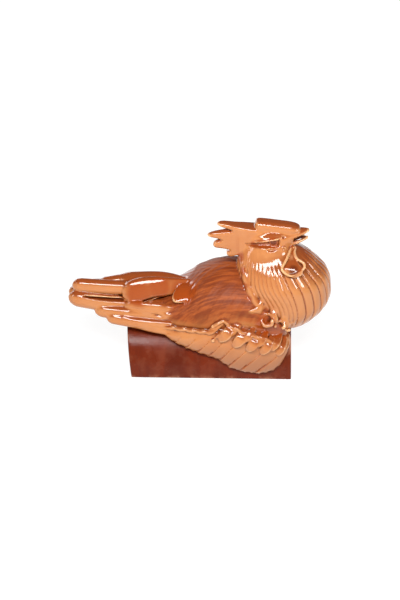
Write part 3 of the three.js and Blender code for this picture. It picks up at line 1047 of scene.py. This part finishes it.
class Nodes:
    """Short hand for building a material's node tree."""

    def __init__(self, name):
        self.material = bpy.data.materials.new(name)
        self.material.use_nodes = True
        self.tree = self.material.node_tree
        self.shader = self.tree.nodes["Principled BSDF"]

    def add(self, kind, inputs=None, **settings):
        node = self.tree.nodes.new(kind)
        for key, value in settings.items():
            setattr(node, key, value)
        for key, value in (inputs or {}).items():
            self.set(node.inputs[key], value)
        return node

    def set(self, socket, value):
        if isinstance(value, bpy.types.NodeSocket):
            self.tree.links.new(value, socket)
        else:
            socket.default_value = value

    def math(self, operation, a, b=0.0, clamp=False):
        return self.add("ShaderNodeMath", {0: a, 1: b}, operation=operation, use_clamp=clamp).outputs[0]

    def span(self, value, low, high, to_low=0.0, to_high=1.0):
        inputs = {"Value": value, "From Min": low, "From Max": high, "To Min": to_low, "To Max": to_high}
        return self.add("ShaderNodeMapRange", inputs, interpolation_type="SMOOTHSTEP").outputs[0]

    def mix(self, share, a, b, blend="MIX"):
        node = self.add("ShaderNodeMix", data_type="RGBA", blend_type=blend)
        for socket, value in zip((node.inputs[0], node.inputs[6], node.inputs[7]), (share, a, b)):
            self.set(socket, value)
        return node.outputs[2]

    def noise(self, vector, scale, detail=3.0, roughness=0.5, distortion=0.0):
        inputs = {"Scale": scale, "Detail": detail, "Roughness": roughness, "Distortion": distortion}
        if vector is not None:
            inputs["Vector"] = vector
        return self.add("ShaderNodeTexNoise", inputs).outputs["Fac"]

    def attribute(self, name):
        return self.add("ShaderNodeAttribute", attribute_name=name).outputs["Fac"]


def linear(red, green, blue):
    """A colour given as 0 to 255 screen values."""
    parts = [v / 255 for v in (red, green, blue)]
    return (*[p / 12.92 if p <= 0.04045 else ((p + 0.055) / 1.055) ** 2.4 for p in parts], 1.0)


HONEY = linear(190, 124, 72)
HONEY_WARM = linear(184, 112, 58)
HONEY_PAINTED_SHADE = linear(158, 100, 64)
AMBER = linear(140, 66, 26)
AMBER_CLEAR = linear(150, 62, 12)
UMBER = linear(116, 50, 22)
RUSSET = linear(158, 78, 34)
POOL = linear(98, 38, 8)
PALE_BREAK_AND_HIGHLIGHT = linear(238, 190, 136)
OXBLOOD = linear(106, 36, 12)
OXBLOOD_DARK = linear(88, 28, 10)
OXBLOOD_EDGE = linear(176, 118, 88)


def rooster_glaze():
    """Clear honey glaze over buff clay: dark where it pools in hollows, pale where it thins on edges, with
    painted shade on up-facing tops, the back, the lower parts and the nape, and a partly painted highlight
    on the pale edges.
    """
    n = Nodes("honey_glaze")
    place = n.add("ShaderNodeTexCoord").outputs["Object"]
    up = n.add("ShaderNodeSeparateXYZ", {0: n.add("ShaderNodeNewGeometry").outputs["Normal"]}).outputs["Z"]
    crowd, wide, back = n.attribute("hollow"), n.attribute("hollow_wide"), n.attribute("back")
    parts = n.add("ShaderNodeSeparateXYZ", {0: place})
    side = n.math("ABSOLUTE", parts.outputs["Y"])
    flow_place = n.add("ShaderNodeCombineXYZ", {0: parts.outputs["X"], 1: side, 2: parts.outputs["Z"]})
    turned = n.add(
        "ShaderNodeMapping",
        {"Vector": flow_place.outputs[0], "Rotation": (0, 0, math.radians(39)), "Scale": (16, 300, 60)},
    )
    streaks = n.noise(turned.outputs[0], 1.0, 4.0, 0.6)
    clouds = n.noise(place, 14.0, 3.0, 0.55, 0.6)
    # How far the surface faces up, blotched by the clouds; it sets where shade is painted on tops.
    facing_up_blotched = n.math("ADD", up, n.math("MULTIPLY", n.math("SUBTRACT", clouds, 0.5), 0.4))
    thick = n.span(facing_up_blotched, 0.35, 0.85)
    colour = n.mix(n.span(clouds, 0.3, 0.7), HONEY, HONEY_WARM)
    # Painted shade: from 90 mm height down, the colour darkens towards the bottom, where the wing faces
    # down, away from the light.
    painted_low_shade = n.span(parts.outputs["Z"], 0.09, 0.03, 0.0, 0.75)
    colour = n.mix(painted_low_shade, colour, HONEY_PAINTED_SHADE)
    # Painted shade: surfaces that face up are mixed towards dark amber.
    colour = n.mix(thick, colour, AMBER)
    # The back is painted umber with russet streaks, more where it faces up: the streaks follow the combed
    # glaze, and the darkness is painted shade.
    streaked_back_shade = n.mix(n.span(streaks, 0.36, 0.68), UMBER, RUSSET)
    colour = n.mix(n.math("MULTIPLY", back, n.span(facing_up_blotched, -0.1, 0.45, 0.35, 1.0)), colour, streaked_back_shade)
    # Clear dark amber at the listed places: amber glaze, and painted shade on the nape.
    colour = n.mix(n.math("MULTIPLY", n.attribute("amber"), 0.85), colour, AMBER_CLEAR)
    colour = n.mix(n.span(wide, 0.58, 0.8, 0.0, 0.8), colour, AMBER)
    colour = n.mix(n.math("MULTIPLY", n.attribute("pool"), 0.9), colour, POOL)
    colour = n.mix(n.span(n.attribute("groove"), 0.15, 0.8, 0.0, 0.8), colour, AMBER)
    colour = n.mix(n.span(crowd, 0.57, 0.76, 0.0, 0.9), colour, POOL)
    # Paler on sharp convex edges: partly the glaze thinning over the edges, partly a painted highlight.
    colour = n.mix(n.span(crowd, 0.4, 0.2, 0.0, 0.6), colour, PALE_BREAK_AND_HIGHLIGHT)
    n.set(n.shader.inputs["Base Color"], colour)
    dry = n.math("MULTIPLY", back, n.math("SUBTRACT", 1.0, n.attribute("amber")))
    n.set(n.shader.inputs["Roughness"], n.span(dry, 0.2, 0.8, 0.08, 0.48))
    n.shader.inputs["IOR"].default_value = 1.47
    n.set(n.shader.inputs["Specular IOR Level"], n.span(dry, 0.2, 0.8, 0.5, 0.18))
    n.set(n.shader.inputs["Coat Weight"], n.span(dry, 0.2, 0.8, 0.25, 0.0))
    n.shader.inputs["Coat Roughness"].default_value = 0.03
    ripple = n.noise(place, 60.0, 2.0, 0.5)
    height = n.math("ADD", n.math("MULTIPLY", ripple, 0.6), n.math("MULTIPLY", streaks, 0.5))
    bump = n.add("ShaderNodeBump", {"Height": height, "Strength": 0.2, "Distance": 0.0008})
    n.set(n.shader.inputs["Normal"], bump.outputs[0])
    return n.material


def tile_glaze():
    """Dark red-brown glaze, streaked down the tile and paler in patches along its edges."""
    n = Nodes("oxblood_glaze")
    place = n.add("ShaderNodeTexCoord").outputs["Object"]
    run = n.add("ShaderNodeMapping", {"Vector": place, "Scale": (30, 8, 8)}).outputs[0]
    streaks = n.noise(run, 1.0, 4.0, 0.6, 0.4)
    clouds = n.noise(place, 9.0, 3.0, 0.5)
    colour = n.mix(n.span(streaks, 0.3, 0.7), OXBLOOD_DARK, OXBLOOD)
    colour = n.mix(n.span(clouds, 0.55, 0.8, 0.0, 0.35), colour, UMBER)
    pale_rim_patches = n.math("MULTIPLY", n.attribute("rim"), n.span(n.noise(place, 45.0, 3.0, 0.6), 0.42, 0.62))
    colour = n.mix(pale_rim_patches, colour, OXBLOOD_EDGE)
    n.set(n.shader.inputs["Base Color"], colour)
    n.set(n.shader.inputs["Roughness"], n.span(n.noise(place, 22.0, 3.0, 0.6), 0.3, 0.7, 0.18, 0.36))
    n.shader.inputs["IOR"].default_value = 1.42
    n.shader.inputs["Specular IOR Level"].default_value = 0.22
    ripple = n.noise(place, 40.0, 2.0, 0.5)
    bump = n.add("ShaderNodeBump", {"Height": ripple, "Strength": 0.25, "Distance": 0.001})
    n.set(n.shader.inputs["Normal"], bump.outputs[0])
    return n.material


# Camera: its elevation and distance, the picture in pixels, a pixel's size, and the row of the origin.
VIEW_ELEVATION = math.radians(34)
VIEW_DISTANCE = 14.0
PICTURE = (400, 600)
PIXEL_SIZE = 1.8405 * MM
FOOT_ROW = 349.4
AIM_LIFT = FOOT_ROW - PICTURE[1] / 2


def place_camera():
    """Looks along +Y and down, so that a pixel covers the photograph's share of the object."""
    data = bpy.data.cameras.new("camera")
    data.sensor_fit = "VERTICAL"
    data.sensor_height = 36
    data.lens = data.sensor_height * VIEW_DISTANCE / (PICTURE[1] * PIXEL_SIZE)
    camera = bpy.data.objects.new("camera", data)
    sight = np.array([0, math.cos(VIEW_ELEVATION), -math.sin(VIEW_ELEVATION)])
    upward = np.array([0, math.sin(VIEW_ELEVATION), math.cos(VIEW_ELEVATION)])
    camera.location = AIM_LIFT * PIXEL_SIZE * upward - VIEW_DISTANCE * sight
    camera.rotation_euler = (math.pi / 2 - VIEW_ELEVATION, 0, 0)
    bpy.context.scene.collection.objects.link(camera)
    bpy.context.scene.camera = camera


def soft_light(name, place, aim, size, power):
    data = bpy.data.lights.new(name, "AREA")
    data.shape = "RECTANGLE"
    data.size, data.size_y = size
    data.energy = power
    light = bpy.data.objects.new(name, data)
    direction = np.array(aim, float) - np.array(place, float)
    light.location = place
    flat = math.hypot(direction[0], direction[1])
    heading = math.atan2(direction[1], direction[0]) - math.pi / 2
    light.rotation_euler = (math.atan2(flat, -direction[2]), 0, heading)
    bpy.context.scene.collection.objects.link(light)


# The room: the side it is bright on, its darkest and brightest walls, and the lit table.
ROOM_BRIGHT_SIDE = (0, -0.8, -0.6)
ROOM_DARK = 0.12
ROOM_BRIGHT = 0.5
TABLE_GLOW = 0.9
TABLE_GREY = 0.2
FLOOR_HALF = 8.0


def light_stage():
    """A white room, bright in front and dim overhead, with a long box in front and three round about."""
    middle = (0, 0, 0.13)
    soft_light("key_box", (-0.05, -0.92, 1.31), middle, (1.3, 0.32), 28)
    soft_light("left_box", (-2.0, -0.5, 1.2), middle, (0.5, 0.9), 7)
    soft_light("right_box", (1.8, -1.35, 1.4), middle, (0.6, 0.5), 14)
    soft_light("back_box", (-1.1, 1.9, 0.6), middle, (1.8, 0.5), 16)
    world = bpy.data.worlds.new("white_room")
    world.use_nodes = True
    tree = world.node_tree
    facing = tree.nodes.new("ShaderNodeVectorMath")
    facing.operation = "DOT_PRODUCT"
    facing.inputs[1].default_value = ROOM_BRIGHT_SIDE
    tree.links.new(tree.nodes.new("ShaderNodeTexCoord").outputs["Generated"], facing.inputs[0])
    level = tree.nodes.new("ShaderNodeMapRange")
    level.interpolation_type = "SMOOTHSTEP"
    tree.links.new(facing.outputs["Value"], level.inputs["Value"])
    level.inputs["From Min"].default_value = -0.45
    level.inputs["From Max"].default_value = 0.7
    level.inputs["To Min"].default_value = ROOM_DARK
    level.inputs["To Max"].default_value = ROOM_BRIGHT
    tree.links.new(level.outputs[0], tree.nodes["Background"].inputs["Strength"])
    bpy.context.scene.world = world
    tree.nodes["Background"].inputs["Color"].default_value = (1, 1, 1, 1)
    bpy.context.scene.view_settings.view_transform = "Standard"
    bpy.context.scene.view_settings.look = "None"


def lay_floor():
    corners = FLOOR_HALF * np.array([(-1, -1, 0), (1, -1, 0), (1, 1, 0), (-1, 1, 0)])
    floor = mesh_object("floor", corners, [(0, 1, 2, 3)])
    n = Nodes("white_table")
    n.shader.inputs["Base Color"].default_value = (TABLE_GREY, TABLE_GREY, TABLE_GREY, 1)
    n.shader.inputs["Roughness"].default_value = 0.7
    n.shader.inputs["Specular IOR Level"].default_value = 0.0
    n.shader.inputs["Emission Color"].default_value = (1, 1, 1, 1)
    n.shader.inputs["Emission Strength"].default_value = TABLE_GLOW
    floor.data.materials.append(n.material)


rooster = make_rooster()
rooster.data.materials.append(rooster_glaze())
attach(rooster, "root")
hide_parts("rooster")

tile = make_tile()
tile.data.materials.append(tile_glaze())
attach(tile, "root")
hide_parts("ridge_tile")

lay_floor()
light_stage()
place_camera()
